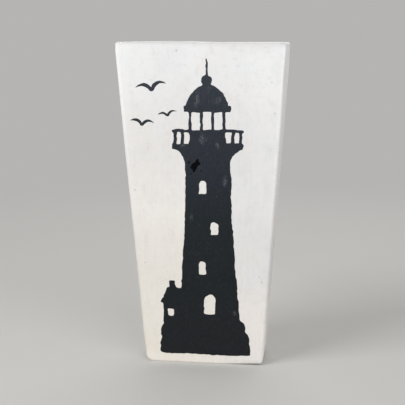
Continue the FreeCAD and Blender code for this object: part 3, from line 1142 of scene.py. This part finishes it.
# The black's tone from the foot, 0, to the head, 1. It gets greyer towards the head: partly the paint's
# own tone, partly a painted sheen where the head catches more light.
BLACK_TONES_AND_SHEEN = (
    (0.0, tint(15, 18, 24)), (0.27, tint(9, 18, 23)), (0.45, tint(12, 23, 28)),
    (0.60, tint(27, 34, 44)), (0.82, tint(41, 45, 55)), (1.0, tint(57, 61, 72)),
)
# Scuffs on the black: across, up, radius, how much taller than wide, strength.
SCUFFS = (
    (-1.6, 148.0, 1.6, 2.6, 0.40), (9.0, 146.6, 2.0, 1.0, 0.30), (4.4, 152.6, 1.0, 1.8, 0.30),
    (1.0, 126.6, 1.6, 1.2, 0.60), (8.6, 123.6, 1.2, 1.9, 0.40), (-9.8, 122.8, 1.3, 0.8, 0.35),
    (12.6, 104.0, 1.1, 2.4, 0.30), (-5.6, 84.0, 1.0, 2.0, 0.25), (17.8, 30.0, 1.3, 1.2, 0.25),
)
HIGH = (20, 168)            # heights between which the rubbing gets stronger
DRY_RISE = (60, 168)        # and the brush gets drier


def black_finish():
    """Satin slate black, mottled, greyer towards the head, partly its own tone and partly a painted
    sheen, and more rubbed there.
    """
    paint = Finish("satin_slate_black", Specular_IOR_Level=0.30)
    strokes = paint.noise(1.0, 1.0, 8, detail=4, roughness=0.6, distortion=0.5)
    bristle = paint.noise(0.3, 0.3, 3, detail=2, distortion=0.4)
    patch = paint.noise(8, 8, 12, detail=3)
    shade = paint.noise(5, 5, 6, detail=4, roughness=0.6)
    speckle = paint.noise(1.1, 1.1, 1.3, detail=3, roughness=0.7)
    rub = paint.noise(2.2, 2.2, 5, detail=4, roughness=0.6)
    high = paint.z.over(*HIGH)
    # Partly painted sheen: the base tone gets greyer up the block.
    colour = paint.node("ShaderNodeValToRGB", {"stops": BLACK_TONES_AND_SHEEN}, {0: paint.z / HEIGHT})
    colour = paint.darken(patch.over(0.46, 0.60) * 0.6, colour, tint(243, 230, 255))
    colour = paint.darken(shade.over(0.46, 0.60) * 0.8, colour, tint(218, 250, 238))
    colour = paint.mix(speckle.over(0.48, 0.68) * (0.25 + high * 0.2), colour, tint(48, 52, 57))
    colour = paint.mix(strokes.over(0.50, 0.75) * 0.35, colour, tint(18, 21, 25))
    rubbed = rub.over(0.62, 0.76) * patch.over(0.42, 0.6) * high
    colour = paint.mix(rubbed * 0.35, colour, tint(98, 103, 108))
    strands = paint.noise(0.35, 0.35, 3.5, detail=2, distortion=0.9)
    dry = strands.over(0.60, 0.74) * patch.over(0.40, 0.6) * paint.z.over(*DRY_RISE)
    colour = paint.mix(dry * (0.25 + high * 0.15), colour, tint(96, 102, 108))
    nicks = paint.noise(0.55, 0.55, 1.5, detail=3, roughness=0.6, distortion=1.6).over(0.48, 0.60)
    for x, z, radius, stretch, strength in SCUFFS:
        ragged = (shade - 0.5) * radius * 3
        scuff = paint.spot((x, None, z), radius * 0.8, radius * 0.8, stretch, ragged)
        colour = paint.mix(scuff * nicks * strength, colour, tint(150, 156, 160))
    flecks = paint.dots((5.5, 5.5, 8), 0.030, 0.055) * paint.noise(10, 10, 10).over(0.5, 0.62)
    colour = paint.mix(flecks * 0.4, colour, tint(120, 122, 124))
    roughness = 0.42 + strokes * 0.12 + speckle * 0.10
    height = strokes * 0.45 + bristle * 0.25 + speckle * 0.30
    return paint.finished(colour, roughness, height, 0.040)


def wet_black_finish():
    """Thick gloss black that still looks wet."""
    paint = Finish("wet_gloss_black", Specular_IOR_Level=0.06)
    lumps = paint.noise(1.4, 1.4, 1.9, detail=2)
    drag = paint.noise(0.5, 0.5, 4, detail=2)
    colour = paint.mix(lumps, tint(3, 5, 7), tint(9, 11, 14))
    roughness = 0.10 + drag * 0.10
    return paint.finished(colour, roughness, lumps * 0.7 + drag * 0.3, 0.050)


PITH = (18.0, 46.0, 0.0)    # the middle of the tree's rings, outside the block
RING_WIDTH = 2.9
RING_LEAN = 0.03            # how little the rings change up the block
# The wood's tone through one ring, from the early wood to the late.
RING_TONES = (
    (0.0, tint(204, 168, 118)), (0.55, tint(196, 156, 104)), (0.86, tint(150, 104, 60)),
    (0.93, tint(142, 96, 54)), (1.0, tint(204, 168, 118)),
)
SMEAR_WIDTHS = (5.5, 4.5)   # how far in the white ran under the sides, and under front and back
SMEAR_FULL = 1.0            # in from the edge, where it covers the wood


def wood_finish():
    """Bare softwood: end grain with rings on the sawn foot, and white paint that ran under it."""
    wood = Finish("bare_softwood", Specular_IOR_Level=0.3)
    wander = wood.noise(14, 14, 60, detail=2) * 2.2
    ring = wood.apart((1.0, 1.0, RING_LEAN), PITH)
    turns = ((ring + wander) / RING_WIDTH).math("FRACT")
    bands = wood.node("ShaderNodeValToRGB", {"stops": RING_TONES}, {0: turns})
    pores = wood.noise(0.35, 0.35, 6, detail=2)
    colour = wood.mix(pores.over(0.55, 0.75) * 0.4, bands, tint(112, 76, 44))
    stain = wood.noise(17, 17, 17, detail=3)
    colour = wood.mix(stain.over(0.4, 0.75) * 0.30, colour, tint(128, 98, 66))
    under_sides, under_faces = (
        part.math("ABSOLUTE").over(half - width, half - SMEAR_FULL)
        for part, half, width in zip((wood.x, wood.y), (FOOT_HALF_WIDTH, FOOT_HALF_DEPTH), SMEAR_WIDTHS)
    )
    smear = (under_sides.most(under_faces) + wood.noise(3.2, 3.2, 3.2, detail=4)).over(1.02, 1.30)
    colour = wood.mix(smear * 0.85, colour, tint(232, 229, 222))
    kerf = wood.noise(0.7, 22, 9, detail=3)
    roughness = 0.74 + pores * 0.14
    height = kerf * 0.5 + pores * 0.35 + turns * 0.15
    return wood.finished(colour, roughness, height, 0.12)


# Stage and light ---------------------------------------------------------------------------------

SEEN_TONE = tint(181, 180, 178)     # what the distance looks like to the camera and in gloss
STAGE_FADE = (70, 650)              # how far from the block the stage fades into it
FADE_WEIGHTS = (1.0, 1.0, 0.6)      # of the two level ways and the height in that distance
STAGE_HALF = 2400
SWEEP_START = 900                   # behind the block, where the floor starts to rise
SWEEP_RADIUS = 450
SWEEP_TURNS = np.radians(np.arange(0, 91, 5))
SWEEP_TOP = 1500


def seen_rays(network):
    """1 for rays that show a surface to the camera, in gloss or through glass, and 0 for light."""
    rays = network.node("ShaderNodeLightPath", out="Is Camera Ray")
    return rays.most(rays.output("Is Glossy Ray")).most(rays.output("Is Transmission Ray"))


def floor_finish():
    """Pale matt paper that fades into one even tone in the distance."""
    paper = Finish("pale_floor", Specular_IOR_Level=0.10)
    cloud = paper.noise(160, 160, 160, detail=2)
    colour = paper.mix(cloud, tint(206, 205, 202), tint(202, 201, 198))
    tooth = paper.noise(1.2, 1.2, 1.2, detail=2)
    material = paper.finished(colour, 0.85 + tooth * 0.1, tooth, 0.02)
    distant = paper.apart(FADE_WEIGHTS).over(*STAGE_FADE) * seen_rays(paper)
    even = paper.node("ShaderNodeEmission", values={"Color": SEEN_TONE, "Strength": 1.0})
    both = paper.node("ShaderNodeMixShader", values={0: distant, 1: paper.shown(), 2: even})
    paper.feed(paper.tree.nodes["Material Output"].inputs["Surface"], both)
    return material


def make_stage(material):
    """A plain floor that sweeps up into a backdrop."""
    rising = [
        (SWEEP_START + SWEEP_RADIUS * math.sin(turn), SWEEP_RADIUS * (1 - math.cos(turn)))
        for turn in SWEEP_TURNS
    ]
    profile = [(-STAGE_HALF, 0.0), *rising, (SWEEP_START + SWEEP_RADIUS, SWEEP_TOP)]
    points = np.array([(x, y, z) for y, z in profile for x in (-STAGE_HALF, STAGE_HALF)])
    faces = [(n, n + 1, n + 3, n + 2) for n in range(0, len(points) - 2, 2)]
    mesh = mesh_of("pale_floor", points, faces)
    mesh.shade_smooth()
    mesh.materials.append(material)
    floor = in_scene("pale_floor", mesh)


# Soft lamps: name, place, size across and up in mm, power in watts.
LAMPS = (
    ("key_lamp", (-620, -560, 700), (520, 520), 5.3),
    ("fill_lamp", (700, -900, 420), (900, 700), 6.15),
    ("back_lamp", (60, 800, 440), (900, 560), 2.6),
)
AIM = (0, 0, 95)            # where the lamps point
SKY = 0.39                  # the even light from all round, as a grey


def make_lights():
    """Soft lamps round the block, and an even sky."""
    for name, place, (across, high), power in LAMPS:
        lamp = bpy.data.lights.new(name, "AREA")
        lamp.shape = "RECTANGLE"
        lamp.size = across * MM
        lamp.size_y = high * MM
        lamp.energy = power
        holder = in_scene(name, lamp)
        holder.location = Vector(place) * MM
        aim = Vector(AIM) - Vector(place)
        holder.rotation_euler = aim.to_track_quat("-Z", "Y").to_euler()
        holder.visible_camera = False
    world = bpy.data.worlds.new("even_sky")
    world.use_nodes = True
    sky = Network(world.node_tree)
    colour = sky.mix(seen_rays(sky), (SKY, SKY, SKY, 1.0), SEEN_TONE)
    sky.feed(world.node_tree.nodes["Background"].inputs["Color"], colour)
    bpy.context.scene.world = world


# Putting it together -----------------------------------------------------------------------------

make_camera()
make_wood(wood_finish())
coat_front = make_coat(WhiteFinish().made())
make_picture(coat_front, black_finish(), wet_black_finish())
make_stage(floor_finish())
make_lights()
bpy.context.scene.view_settings.view_transform = "Standard"
